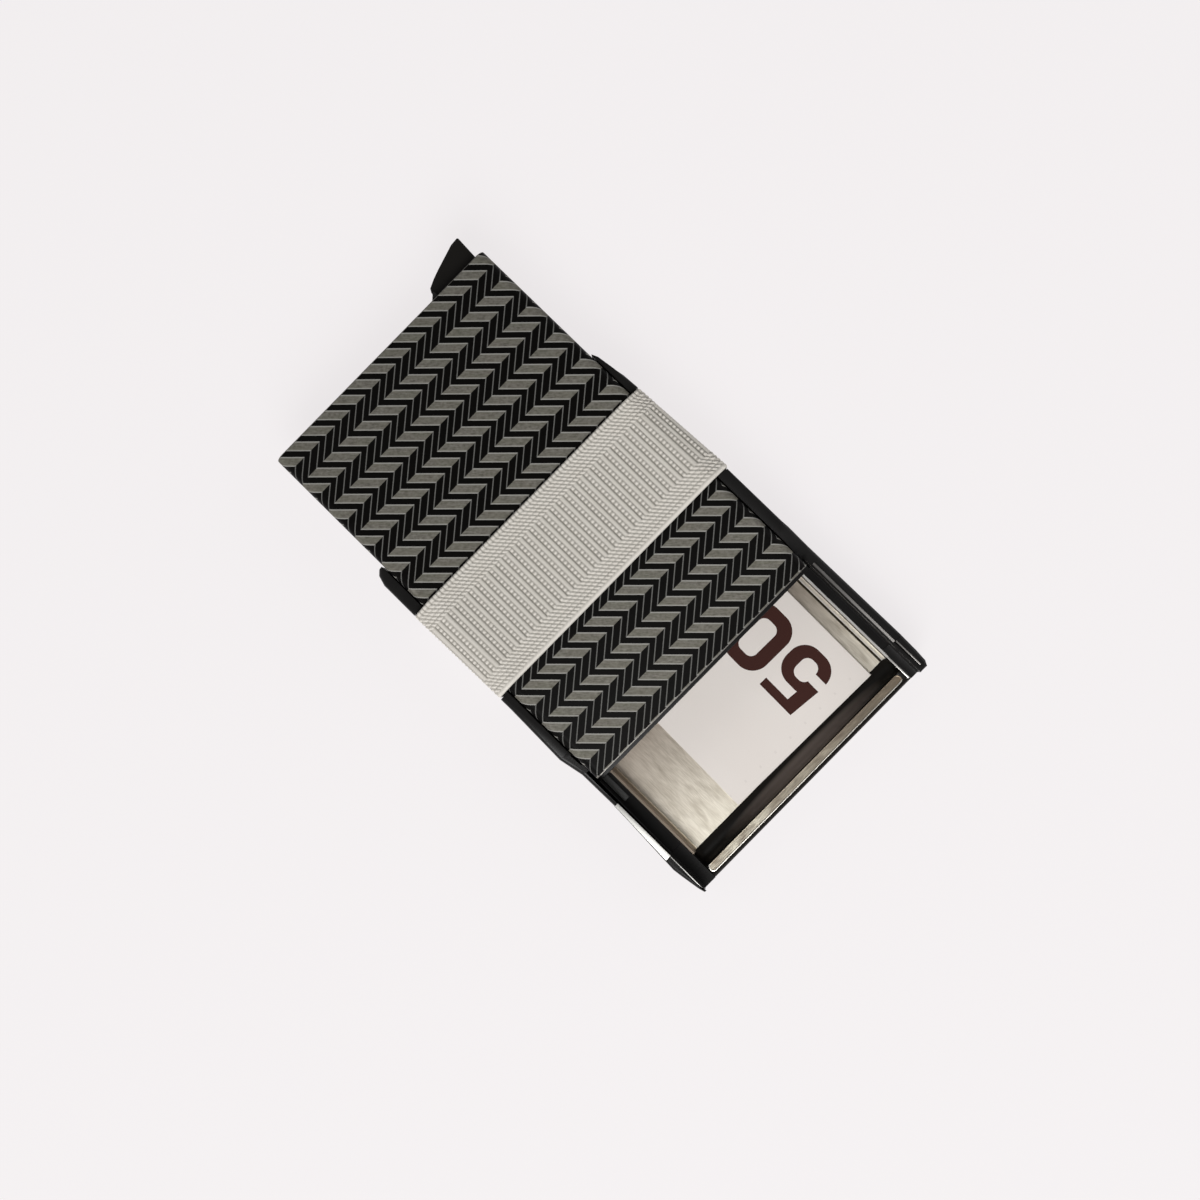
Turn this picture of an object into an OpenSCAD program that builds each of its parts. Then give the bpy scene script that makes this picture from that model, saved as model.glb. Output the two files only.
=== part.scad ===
// Card-and-note wallet: an aluminium card case that slides on a note tray under an elastic band.
// X is the width, Y runs from the tray's open end (-Y) to the ejector lever (+Y), Z is up.
// The origin is the middle of the back plate's outer face. Drawn with the case slid fully open.

/* [Case] */
// Width of the card case
case_w = 64; // [63.6:0.1:64]
// Length of the card case
case_l = 98; // [97.5:0.1:98.5]
// Thickness of the card case
case_t = 8; // [7.8:0.1:8.2]
// Wall of the card case
case_wall = 1; // [0.9:0.05:1.1]
// Outside radius of the case's long edges
case_r = 2; // [1.6:0.1:2.4]
// Distance the open case stands out of the tray's front end
case_reach = 32.6; // [32:0.1:33]

/* [Tray] */
// Half of the tray's width
tray_half_w = 34.8; // [34.6:0.1:35]
// Front end of the rails
rail_front_y = 49.9; // [49.5:0.1:50.3]
// Closed end of the tray
tray_end_y = -49; // [-49.2:0.1:-48.6]
// Thickness of the back plate
back_t = 2; // [1.9:0.05:2.1]
// Thickness of the stainless floor sheet
sheet_t = 0.5; // [0.4:0.05:0.6]
// Height of the ledge that the sledge glides on
ledge_z = 6.4; // [6.3:0.05:6.5]
// Height of the rails beside the case
rail_high_z = 14.3; // [14:0.1:14.6]
// Height of the rails beside the open tray
rail_low_z = 11; // [10.6:0.1:11.4]

/* [Band] */
// Lower edge of the elastic band along the case
band_y0 = 11.5; // [11.2:0.1:11.8]
// Width of the elastic band
band_w = 25.6; // [25:0.1:26.2]
// Thickness of the elastic band
band_t = 0.85; // [0.7:0.05:0.95]

/* [Lever] */
// Place of the lever's pivot across the case
pivot_x = 24.5; // [24:0.1:25]
// Radius of the pivot pin
pin_r = 0.9; // [0.8:0.05:1]
// Length of the longest card step
step_max = 41; // [40:0.5:41.5]
// Thickness of one card step
step_t = 1.04; // [1:0.01:1.06]

/* [Note] */
// Width of the folded note
note_w = 41; // [38:0.5:42]
// Length of the folded note
note_l = 70; // [66:1:72]

/* [Hidden] */
$fn = 64;

// Small overlap that keeps a cut clear of the face it starts from
e = 0.02;
half_w = case_w / 2;
// The sledge and its bonding sheet lie between the ledge and the case
glide_gap = 0.2;
sledge_z0 = ledge_z + glide_gap;
sledge_t = 1.25;
bond_t = 0.15;
case_z0 = sledge_z0 + sledge_t + bond_t;
case_z1 = case_z0 + case_t;
mid_z = case_z0 + case_t / 2;
case_y1 = rail_front_y + case_reach;
case_y0 = case_y1 - case_l;
bore_half_w = half_w - case_wall;
bore_z0 = case_z0 + case_wall;
bore_z1 = case_z1 - case_wall;
// Pieces pressed into the case keep this much from its wall
fit = 0.05;

// Rails: a ledge inside, a wall outside, and an undercut groove for the sledge's tongues
// Inner edge of the left and of the right ledge; the tray's floor lies a little to the right
ledge_left = 29.8;
ledge_right = 31.1;
lip_x = 32.3;
open_wall_x = 32.9;
groove_x = 32.9;
groove_top_z = case_z0 + 0.25;
groove_y1 = 38.3;
lip_y0 = -14;
slope_y1 = -7;
slope_y0 = -13;
left_cap_y = -38.5;
right_cap_y = -40.45;
joint_gap = 0.06;
left_outline = [[-ledge_left, rail_front_y], [-33.3, rail_front_y], [-34.25, 49], [-tray_half_w - 0.15, 46.7],
    [-tray_half_w - 0.15, 38], [0.2 - tray_half_w, 8], [-tray_half_w - 0.1, -7], [-34.1, -12.6],
    [-33.95, -22.3], [-34.5, -35], [-34.75, -41], [-34.5, -43], [-33.8, -47.5], [-33.4, tray_end_y],
    [-ledge_left, tray_end_y]];
right_outline = [[ledge_right, rail_front_y - 0.3], [32.4, rail_front_y - 0.3], [33, 48.2], [33.6, 43.8],
    [34.05, 41.5], [34.3, 37.4], [34.8, 20], [35.1, 11.3], [35.15, -5], [35.55, -12.7], [35.7, -26],
    [35.8, right_cap_y], [35.7, -45], [35.5, -47.9], [34.9, tray_end_y],
    [ledge_right, tray_end_y]];
// Latch arm in the left ledge
latch_y0 = -23.4;
latch_y1 = -8;
latch_z0 = 4.8;
latch_gap = 0.05;
// Steel trims let into the rails' shoulders
trim_h = 0.5;
left_trim_y = [-38.4, -22.4];
right_trim_y = [-40.35, -16.2];

// Band: the recess is a little wider than the band, and the band stands a little proud of it
recess_margin = 0.3;
recess_d = 0.8;
band_back_z = 0.2;
band_top_z = case_z1 + 0.15 + band_t;
recess_back_z = band_back_z + band_t + 0.1;
band_y1 = band_y0 + band_w;

// Note tray
floor_z = back_t + sheet_t;
tray_wall_z = 6.2;
bar_foot_y = -42.2;
bar_top_y = -46;
bar_top_z = 6.2;
strip_y = [-48.1, -46.1];
front_bar_y = 45.4;
screw_r = 0.8;
screw_x = 32.2;
screw_ys = [-46, -4];
bar_screw_x = 26;
bar_screw_y = 47.1;
screw_places = concat([for (s = [-1, 1], y = screw_ys) [s * screw_x, y]],
    [for (s = [-1, 1]) [s * bar_screw_x, bar_screw_y]]);
screw_head_r = 1.4;
screw_head_h = 0.7;

// Lever: the fin stands outside the base, the steps lie under the cards' edges
pivot_y = case_y1 - 3.5;
hub_t = 3.4;
hub_r = 2.3;
cap_d = 6;
slot_gap = 0.1;
steps = 5;
step_drop = 4.6;
step_root_y = case_y1 - 6.6;
fin_top_y = case_y1 + 6.55;

// Card guides leave a little more than a card's width between their felts
guide_x = 27.5;
felt_t = 0.25;
guide_y0 = case_y0 + 4.4;
guide_y1 = case_y1 - cap_d - 0.3;
collar_d = 4;
tongue_x = 32.7;
sledge_lip = 1;
sledge_y1 = 47;
tongue_y1 = groove_y1 - 0.3;

// A bar of the X-Z profile in its children, from y0 to y1
module along_y(y0, y1) {
    translate([0, y1, 0])
        rotate([90, 0, 0])
            linear_extrude(y1 - y0)
                children();
}

// A flat plate of the outline in its children, from z0 to z1
module plate(z0, z1) {
    translate([0, 0, z0])
        linear_extrude(z1 - z0)
            children();
}

// A box between two corners
module block(lo, hi) {
    translate(lo)
        cube(hi - lo);
}

// A rectangle with rounded corners, made of true arcs
module round_rect(lo, hi, r) {
    translate([lo[0] + r, lo[1]])
        square([hi[0] - lo[0] - 2 * r, hi[1] - lo[1]]);
    translate([lo[0], lo[1] + r])
        square([hi[0] - lo[0], hi[1] - lo[1] - 2 * r]);
    for (x = [lo[0] + r, hi[0] - r], y = [lo[1] + r, hi[1] - r])
        translate([x, y])
            circle(r);
}

// The space that the band's recess takes out of one side of the tray
module recess_side(side) {
    y0 = band_y0 - recess_margin;
    y1 = band_y1 + recess_margin;
    plate(-1, rail_high_z + 1)
        polygon([[side * 40, y0], [side * 40, y1], [side * band_inner_x(side, y1), y1],
            [side * band_inner_x(side, y0), y0]]);
}

// How far the band's side stands out at y; the loop sits a little askew
function band_edge_x(side, y) =
    side < 0 ? lookup(y, [[10, 34.5], [37.4, 35.05]]) : lookup(y, [[10, 35.65], [37.4, 34.3]]);

// Half-width of the recess's floor at y
function band_inner_x(side, y) = band_edge_x(side, y) - recess_d;

// One rail, from y0 to y1: ledge, wall with a sloped top, groove, band recess and shoulder seat
module rail(outline, side, y0, y1) {
    difference() {
        intersection() {
            plate(back_t, rail_high_z)
                polygon(outline);
            block([-40, y0, 0], [40, y1, 20]);
        }
        // Room over the ledge, wider beside the open tray
        ledge_room(side, lip_x, lip_y0, 60, 20);
        ledge_room(side, open_wall_x, -60, lip_y0 + e, 20);
        // Undercut groove for the sledge's tongue
        ledge_room(side, groove_x, -60, groove_y1, groove_top_z);
        // Low top beside the open tray, joined to the high top by a slope
        rotate([90, 0, 90])
            translate([0, 0, -40])
                linear_extrude(80)
                    polygon([[-60, rail_low_z], [slope_y0, rail_low_z], [slope_y1, rail_high_z],
                        [slope_y1, 20], [-60, 20]]);
        recess_side(side);
        pilot_holes();
    }
}

// Space over one ledge, out to x, from y0 to y1 and up to z1
module ledge_room(side, x, y0, y1, z1) {
    block([side > 0 ? ledge_right - 1 : -x, y0, ledge_z], [side > 0 ? x : 1 - ledge_left, y1, z1]);
}

// Pilot holes for the back screws
module pilot_holes() {
    for (at = screw_places)
        translate([at[0], at[1], back_t - e])
            cylinder(r = screw_r, h = 2);
}

// Back plate: the face that the wallet rests on, with the band's recess and countersunk holes
module back_plate() {
    color("#1b1b1d") difference() {
        plate(0, back_t)
            polygon([[-33.1, rail_front_y - 0.2], [-34.4, 46.4], [-34.4, -7], [-33.6, -12.8], [-33.5, -22.4],
                [-34.1, -36], [-34.1, -46.4], [-33.3, tray_end_y + 0.3], [34.1, tray_end_y + 0.3],
                [34.7, -47.7], [35, -40], [34.9, 10], [33.7, 37], [33.3, 42], [32, rail_front_y - 0.8]]);
        block([-40, band_y0 - recess_margin, -1], [40, band_y1 + recess_margin, recess_back_z]);
        recess_side(-1);
        recess_side(1);
        for (at = screw_places)
            translate([at[0], at[1], 0]) {
                translate([0, 0, -1])
                    cylinder(r = screw_r + 0.1, h = 5);
                translate([0, 0, -e])
                    cylinder(r = screw_head_r + 0.1, h = screw_head_h + e);
            }
    }
}

// Stainless tray: a floor with its long sides folded up and hemmed outwards
module steel_tray() {
    color("#c9c0ae") along_y(bar_foot_y + joint_gap, front_bar_y - joint_gap)
        polygon(concat(tray_side(-1, 0), [for (p = [5:-1:0]) tray_side(1, 0)[p]],
            tray_side(1, 1), [for (p = [5:-1:0]) tray_side(-1, 1)[p]]));
}

// Half profile of the tray: the inner face for d = 0, the outer face for d = 1
function tray_side(s, d) = let (x = s > 0 ? ledge_right : ledge_left) [
    [s * (x - 0.1), tray_wall_z - d * sheet_t],
    [s * (x - 0.55 - d * 0.05), tray_wall_z - d * sheet_t],
    [s * (x - 0.8 + d * 0.1), tray_wall_z - 0.35 - d * sheet_t * 0.4],
    [s * (x - 0.95 + d * 0.5), 4],
    [s * (x - 1.15 + d * 0.3), floor_z + 0.5 - d * sheet_t],
    [s * (x - (s > 0 ? 1.7 : 1.35) + d * 0.1), floor_z - d * sheet_t]];

module left_rail() {
    color("#141416") difference() {
        rail(left_outline, -1, left_cap_y + joint_gap, 60);
        plate(rail_low_z - trim_h, 20)
            left_trim_plan(joint_gap);
        latch_form(latch_gap, 20);
    }
}

module right_rail() {
    color("#141416") difference() {
        rail(right_outline, 1, right_cap_y + joint_gap, 60);
        block([33.2, right_trim_y[0] - joint_gap, rail_low_z - trim_h],
            [34.05, right_trim_y[1] + joint_gap, 20]);
    }
}

module left_end_cap() {
    color("#141416") difference() {
        rail(left_outline, -1, -60, left_cap_y);
        block([-33.25, tray_end_y + 0.5, rail_low_z - trim_h], [-32.95, left_cap_y + 1, 20]);
    }
}

module right_end_cap() {
    color("#141416") difference() {
        rail(right_outline, 1, -60, right_cap_y);
        block([33.85, tray_end_y + 1.2, rail_low_z - trim_h], [34.25, right_cap_y + 1, 20]);
    }
}

// Steel trims let into the shoulders of the rails and of the end caps
module left_trim() {
    color("#e6e4de") plate(rail_low_z - trim_h, rail_low_z + 0.05)
        left_trim_plan(0);
}

// Plan of the left trim, which widens towards the end cap, drawn out by gap
module left_trim_plan(gap) {
    y0 = left_trim_y[0] - gap;
    y1 = left_trim_y[1] + gap;
    polygon([[-33.85 - gap, y1], [-32.97 + gap, y1], [-32.97 + gap, y0], [-34.35 - gap, y0]]);
}

module right_trim() {
    color("#5f605e") along_y(right_trim_y[0], right_trim_y[1])
        polygon([[33.25, rail_low_z - trim_h], [33.25, rail_low_z - 0.1], [33.4, rail_low_z + 0.05],
            [33.85, rail_low_z + 0.05], [34, rail_low_z - 0.1], [34, rail_low_z - trim_h]]);
}

module left_cap_trim() {
    color("#d8d6cf")
        block([-33.2, tray_end_y + 0.55, rail_low_z - trim_h], [-33, left_cap_y - 0.05, rail_low_z]);
}

module right_cap_trim() {
    color("#8c8c88")
        block([33.9, tray_end_y + 1.25, rail_low_z - trim_h], [34.2, right_cap_y - 0.05, rail_low_z]);
}

// Cross bar that closes the tray's front end under the case
module front_bar() {
    color("#141416") difference() {
        block([joint_gap - ledge_left, front_bar_y, back_t],
            [ledge_right - joint_gap, rail_front_y - 0.8, ledge_z - 0.2]);
        translate([0, front_bar_y - 10, back_t - 1])
            cylinder(r = 11.2, h = 10);
        pilot_holes();
    }
}

// Concave end bar: a ramp that lets a thumb lift the notes, with a seat for the steel strip
module end_bar() {
    color("#101012") difference() {
        rotate([90, 0, 90])
            translate([0, 0, joint_gap - ledge_left])
                linear_extrude(ledge_left + ledge_right - 2 * joint_gap)
                    polygon(concat(
                        [[tray_end_y, back_t], [bar_foot_y, back_t], [bar_foot_y, floor_z - 0.15]],
                        [for (a = [5:10:85]) [bar_foot_y - (bar_foot_y - bar_top_y) * sin(a),
                            bar_top_z - (bar_top_z - floor_z + 0.1) * cos(a)]],
                        [[bar_top_y, bar_top_z], [tray_end_y + 0.3, bar_top_z],
                            [tray_end_y, bar_top_z - 0.3]]));
        plate(bar_top_z - 0.35, 20)
            round_rect([-29.6, strip_y[0] - 0.05], [29.7, strip_y[1] + 0.05], 0.95);
    }
}

module end_strip() {
    color("#b7a78f") difference() {
        plate(bar_top_z - 0.35, bar_top_z + 0.12)
            round_rect([-29.55, strip_y[0]], [29.65, strip_y[1]], 0.9);
        plate(bar_top_z - 0.05, 20)
            round_rect([-29.25, strip_y[0] + 0.3], [29.35, strip_y[1] - 0.25], 0.6);
    }
}

module back_screws() {
    color("#8a8a8a") for (at = screw_places)
        translate([at[0], at[1], 0])
            difference() {
                union() {
                    translate([0, 0, 0.1])
                        cylinder(r = screw_head_r, h = screw_head_h - 0.1);
                    translate([0, 0, screw_head_h - e])
                        cylinder(r = screw_r - 0.02, h = 3);
                }
                translate([0, 0, -e])
                    cylinder(r = 0.55, h = 0.5, $fn = 6);
            }
}

// Elastic loop round the tray and the case: flat on top, bent over the rails, flat in the back recess
module elastic_band() {
    color("#c8c4bc") difference() {
        band_body(recess_d - band_t - 0.02, band_back_z, band_top_z, 0);
        band_body(recess_d - 0.02, band_back_z + band_t, band_top_z - band_t, 1);
    }
}

// The outer (inner = 0) or inner (inner = 1) form of the band, drawn in by d from the rails' sides
module band_body(d, z0, z1, inner) {
    y0 = band_y0 - inner;
    y1 = band_y1 + inner;
    intersection() {
        plate(z0, z1)
            polygon([[d - band_edge_x(-1, y0), y0], [band_edge_x(1, y0) - d, y0],
                [band_edge_x(1, y1) - d, y1], [d - band_edge_x(-1, y1), y1]]);
        along_y(y0, y1)
            polygon([[-36, z0], [36, z0], [36, 14.2], [34.9 - inner * 0.5, z1 - 1.75], [31.2, z1],
                [-31.2, z1], [inner * 0.5 - 34.9, z1 - 1.75], [-36, 14.2]]);
    }
}

// Paper note folded in four, lying a little askew on the tray's floor
module folded_note() {
    color("#e0dad4") translate([5.85, -7.3, floor_z + 0.05])
        rotate([0, 0, -1])
            translate([-note_w / 2, -note_l / 2, 0])
                difference() {
                    cube([note_w, note_l, 0.8]);
                    translate([-1, -1, 0.38])
                        cube([note_w + 0.6, note_l + 2, 0.05]);
                }
}

// Extruded aluminium tube, open at both ends
module card_case() {
    color("#2a2a26") difference() {
        along_y(case_y0, case_y1)
            round_rect([-half_w, case_z0], [half_w, case_z1], case_r);
        along_y(case_y0 - 1, case_y1 + 1)
            round_rect([-bore_half_w, bore_z0], [bore_half_w, bore_z1], case_r - case_wall);
    }
}

// Moulded base: two cheeks round the lever's slot, joined by a solid block, and a foot by the fin
module base_cap() {
    slot_x0 = pivot_x - 22;
    color("#19191a") difference() {
        union() {
            along_y(case_y1 - cap_d, case_y1)
                round_rect([fit - bore_half_w, bore_z0 + fit], [bore_half_w - fit, bore_z1 - fit], 0.9);
            plate(mid_z + hub_t / 2 + slot_gap, bore_z1 - 0.3)
                polygon([[16.2, case_y1 - e], [17.2, case_y1 + 0.9], [18, case_y1 + 1.6],
                    [18.3, case_y1 + 1.5], [18.4, case_y1 - e]]);
        }
        block([slot_x0, case_y1 - cap_d - 1, mid_z - hub_t / 2 - slot_gap],
            [bore_half_w + 1, case_y1 + 1, mid_z + hub_t / 2 + slot_gap]);
        translate([pivot_x, pivot_y, bore_z0 - 1])
            cylinder(r = pin_r, h = case_t);
    }
}

module lever_pin() {
    color("#b0b0b0") translate([pivot_x, pivot_y, bore_z0 + 0.1])
        cylinder(r = pin_r, h = bore_z1 - bore_z0 - 0.2);
}

// Outline of the lever between the base's cheeks: hub, fin and web
module lever_outline() {
    translate([pivot_x, pivot_y])
        circle(hub_r);
    polygon([[pivot_x - 1.9, pivot_y - 0.6], [17.9, case_y1 + 0.25], [17.8, case_y1 + 2.1],
        [18.3, case_y1 + 2.95], [20.3, case_y1 + 3.85], [22.4, case_y1 + 4.6], [28.3, fin_top_y - 0.15],
        [30.2, fin_top_y], [30.45, fin_top_y - 0.25], [30.1, case_y1 + 0.2],
        [pivot_x + 2.1, pivot_y - 0.6]]);
    polygon([[pivot_x + 2.1, pivot_y - 0.8], [pivot_x + 0.2, step_root_y - 1.4],
        [pivot_x - 18, step_root_y - 1.4],
        [pivot_x - 18, step_root_y + 0.2], [pivot_x - 4, pivot_y], [pivot_x, pivot_y + 2]]);
}

// Ejector lever: thumb fin outside, and inside it a stack of steps, each one longer than the last
module ejector_lever() {
    color("#1c1b18") difference() {
        union() {
            plate(mid_z - hub_t / 2, mid_z + hub_t / 2)
                lever_outline();
            for (i = [0:steps - 1])
                plate(step_z(i), step_z(i + 1) + (i < steps - 1 ? e : 0))
                    lever_step(step_max - i * step_drop);
        }
        translate([pivot_x, pivot_y, bore_z0 - 1])
            cylinder(r = pin_r + 0.05, h = case_t);
    }
}

// Height of one step's lower face
function step_z(i) = mid_z + (i - steps / 2) * step_t;

// One step: a finger from under the hub to its rounded nose
module lever_step(length) {
    nose_x = pivot_x - length;
    translate([nose_x, step_root_y - 2])
        circle(1.1);
    polygon([[pivot_x - 0.8, step_root_y], [pivot_x - 0.8, step_root_y - 3], [nose_x, step_root_y - 3.1],
        [nose_x, step_root_y - 0.9], [pivot_x - 18, step_root_y]]);
}

// Collar that lines the case's mouth
module mouth_collar() {
    color("#19191a") difference() {
        along_y(case_y0 + 0.3, case_y0 + 0.3 + collar_d)
            round_rect([fit - bore_half_w, bore_z0 + fit], [bore_half_w - fit, bore_z1 - fit], 0.9);
        along_y(case_y0 - 1, case_y0 + collar_d + 2)
            round_rect([-guide_x - 0.2, bore_z0 + 0.5], [guide_x + 0.2, bore_z1 - 0.4], 0.4);
    }
}

// Side guides that hold the cards in line, each faced with a felt strip
module guide(s) {
    along_y(guide_y0, guide_y1)
        polygon([[s * guide_x, bore_z0 + fit], [s * (bore_half_w - 1), bore_z0 + fit],
            [s * (bore_half_w - fit), bore_z0 + 1], [s * (bore_half_w - fit), bore_z1 - 1],
            [s * (bore_half_w - 1), bore_z1 - fit], [s * guide_x, bore_z1 - fit]]);
}

module left_guide() {
    color("#19191a") guide(-1);
}

module right_guide() {
    color("#19191a") guide(1);
}

module left_felt() {
    color("#3a3a3c")
        block([-guide_x, guide_y0 + 2, bore_z0 + 0.4], [felt_t - guide_x, guide_y1 - 10, bore_z1 - 0.4]);
}

module right_felt() {
    color("#3a3a3c")
        block([guide_x - felt_t, guide_y0 + 2, bore_z0 + 0.4], [guide_x, guide_y1 - 10, bore_z1 - 0.4]);
}

// Leaf spring that presses the cards lightly together, fixed to the case's lower wall
module pressure_spring() {
    color("#9c9c98") rotate([90, 0, 90])
        translate([0, 0, -9])
            linear_extrude(18)
                polygon(concat(
                    [for (t = [0:0.1:1.001]) [12 + 34 * t, bore_z0 + 0.02 + 0.45 * sin(180 * t)]],
                    [for (t = [1:-0.1:-0.001]) [12 + 34 * t, bore_z0 + 0.17 + 0.45 * sin(180 * t)]]));
}

// Sledge under the case: its tongues run in the rails' grooves, its lip shows at the mouth
module sledge() {
    color("#141416") union() {
        block([0.25 - lip_x, case_y0 - sledge_lip, sledge_z0],
            [lip_x - 0.25, sledge_y1, sledge_z0 + sledge_t]);
        block([-tongue_x, case_y0 - sledge_lip, sledge_z0], [tongue_x, tongue_y1, sledge_z0 + sledge_t]);
    }
}

module bonding_sheet() {
    color("#d9d9d0") block([-28, case_y0 + 2, sledge_z0 + sledge_t], [28, sledge_y1 - 2, case_z0]);
}

// Latch arm let into the left ledge: a sprung finger that clicks under the sledge at both ends
module latch_arm() {
    color("#4a4b4a") latch_form(0, ledge_z + 0.1);
}

// The latch arm's outline, drawn out by gap, from its foot up to z1
module latch_form(gap, z1) {
    plate(latch_z0 - gap, z1)
        polygon([[-32 - gap, latch_y0 - gap], [-30.6 + gap, latch_y0 - gap],
            [-30.6 + gap, latch_y1 + gap], [-32.6 - gap, latch_y1 + gap],
            [-32.6 - gap, latch_y1 - 3 - gap], [-32 - gap, latch_y1 - 3 - gap]]);
}

back_plate();
steel_tray();
left_rail();
right_rail();
left_end_cap();
right_end_cap();
front_bar();
end_bar();
end_strip();
left_trim();
right_trim();
left_cap_trim();
right_cap_trim();
back_screws();
elastic_band();
folded_note();
card_case();
base_cap();
mouth_collar();
left_guide();
right_guide();
left_felt();
right_felt();
pressure_spring();
sledge();
bonding_sheet();
latch_arm();
lever_pin();
ejector_lever();
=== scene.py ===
# Slide wallet: a card case with a herringbone finish and an ejector lever, running on a black
# note tray with a steel floor, under a grey elastic band. Metres; +Y is the lever's end.
import math

import bmesh
import bpy
import numpy as np
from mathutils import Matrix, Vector


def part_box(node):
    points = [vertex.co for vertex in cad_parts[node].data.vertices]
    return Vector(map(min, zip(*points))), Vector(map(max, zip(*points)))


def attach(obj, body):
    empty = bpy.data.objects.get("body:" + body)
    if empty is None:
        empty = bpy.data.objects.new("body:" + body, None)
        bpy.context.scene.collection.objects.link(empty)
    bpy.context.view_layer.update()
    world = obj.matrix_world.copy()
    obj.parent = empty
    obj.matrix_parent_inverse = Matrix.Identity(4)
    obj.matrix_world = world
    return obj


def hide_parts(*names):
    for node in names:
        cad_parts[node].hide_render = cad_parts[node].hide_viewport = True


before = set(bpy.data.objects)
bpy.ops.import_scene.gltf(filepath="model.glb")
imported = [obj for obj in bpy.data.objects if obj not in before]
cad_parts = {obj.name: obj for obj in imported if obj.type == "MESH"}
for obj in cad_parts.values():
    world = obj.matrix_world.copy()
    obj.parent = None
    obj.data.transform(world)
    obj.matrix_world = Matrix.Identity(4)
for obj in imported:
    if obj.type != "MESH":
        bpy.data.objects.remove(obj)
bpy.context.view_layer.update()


# ---- Board, light and camera ------------------------------------------------------------
# A pale board, which glows so that it stays even, carries the wallet. A large soft box stands
# beyond the open tray's left corner and weak ones at the others; the sky straight above is
# dim, so that flat black faces stay black.
MM = 0.001
board_tone = (0.896, 0.863, 0.871)
board_glow = 0.88
# Each box: where it stands, how wide it is and its power
boxes = (((-0.5, -0.6, 0.85), 0.8, 13.4),
         ((0.9, -0.35, 0.6), 0.7, 2.2),
         ((-0.5, 0.9, 0.6), 0.7, 1.6),
         ((0.75, 0.75, 0.7), 0.6, 0.8))

camera = bpy.data.objects.new("camera", bpy.data.cameras.new("camera"))
bpy.context.scene.collection.objects.link(camera)
camera.data.sensor_width = 36
camera.data.lens = 42.26
camera.data.clip_start = 0.01
stand = Vector((-2.275, -8.062, 316.65)) * MM
aim = Vector((-4.273, 10.85, 16)) * MM
roll = math.radians(44.529)
ahead = (aim - stand).normalized()
across = ahead.cross(Vector((math.cos(roll), math.sin(roll), 0))).normalized()
camera.location = stand
camera.rotation_mode = "QUATERNION"
turned = ahead.to_track_quat("-Z", "Y").to_matrix()
turned.col[0] = across
turned.col[1] = across.cross(ahead)
turned.col[2] = -ahead
camera.rotation_quaternion = turned.to_quaternion()
bpy.context.scene.camera = camera
bpy.context.scene.view_settings.view_transform = "Standard"

bpy.ops.mesh.primitive_plane_add(size=3)
board = bpy.context.object
board.name = "board"
paint = bpy.data.materials.new("board paint")
paint.use_nodes = True
nodes, links = paint.node_tree.nodes, paint.node_tree.links
skin = nodes["Principled BSDF"]
skin.inputs["Base Color"].default_value = (0.12, 0.12, 0.12, 1)
skin.inputs["Roughness"].default_value = 0.9
skin.inputs["Specular IOR Level"].default_value = 0
skin.inputs["Emission Color"].default_value = (*board_tone, 1)
skin.inputs["Emission Strength"].default_value = board_glow
side = nodes.new("ShaderNodeNewGeometry")
clear = nodes.new("ShaderNodeBsdfTransparent")
either = nodes.new("ShaderNodeMixShader")
links.new(side.outputs["Backfacing"], either.inputs[0])
links.new(skin.outputs[0], either.inputs[1])
links.new(clear.outputs[0], either.inputs[2])
links.new(either.outputs[0], nodes["Material Output"].inputs[0])
board.data.materials.append(paint)

for place, width, watts in boxes:
    lamp = bpy.data.lights.new("soft box", "AREA")
    lamp.shape = "SQUARE"
    lamp.size = width
    lamp.energy = watts
    holder = bpy.data.objects.new("soft box", lamp)
    bpy.context.scene.collection.objects.link(holder)
    holder.location = place
    holder.rotation_mode = "QUATERNION"
    holder.rotation_quaternion = (-holder.location).to_track_quat("-Z", "Y")

sky = bpy.data.worlds.new("sky")
sky.use_nodes = True
bpy.context.scene.world = sky
nodes, links = sky.node_tree.nodes, sky.node_tree.links
way = nodes.new("ShaderNodeTexCoord")
split = nodes.new("ShaderNodeSeparateXYZ")
fade = nodes.new("ShaderNodeValToRGB")
stops = fade.color_ramp.elements
stops[0].position, stops[0].color = 0.0, (0.3, 0.3, 0.3, 1)
stops[1].position, stops[1].color = 0.99, (0.012, 0.012, 0.012, 1)
middle_stop = stops.new(0.8)
middle_stop.color = (0.16, 0.16, 0.16, 1)
links.new(way.outputs["Generated"], split.inputs[0])
links.new(split.outputs["Z"], fade.inputs[0])
links.new(fade.outputs[0], nodes["Background"].inputs[0])


# ---- Back plate -------------------------------------------------------------------------
# Pressed aluminium plate, bead-blasted and anodised black. The rails are screwed down on it
# from behind, and the band lies in the recess across it.
class Wire:
    """A socket of a finish, so that arithmetic on it adds Math nodes."""

    def __init__(self, finish, socket):
        self.finish = finish
        self.socket = socket

    def sum_of(self, operation, *values):
        return self.finish.add("ShaderNodeMath", {"operation": operation}, dict(enumerate(values)))

    def __add__(self, other):
        return self.sum_of("ADD", self, other)

    def __sub__(self, other):
        return self.sum_of("SUBTRACT", self, other)

    def __rsub__(self, other):
        return self.sum_of("SUBTRACT", other, self)

    def __mul__(self, other):
        return self.sum_of("MULTIPLY", self, other)

    def __truediv__(self, other):
        return self.sum_of("DIVIDE", self, other)

    def __lt__(self, other):
        return self.sum_of("LESS_THAN", self, other)

    def __gt__(self, other):
        return self.sum_of("GREATER_THAN", self, other)

    def least(self, other):
        return self.sum_of("MINIMUM", self, other)

    def most(self, other):
        return self.sum_of("MAXIMUM", self, other)

    def part(self, name):
        return Wire(self.finish, self.socket.node.outputs[name])

    __radd__ = __add__
    __rmul__ = __mul__


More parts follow.
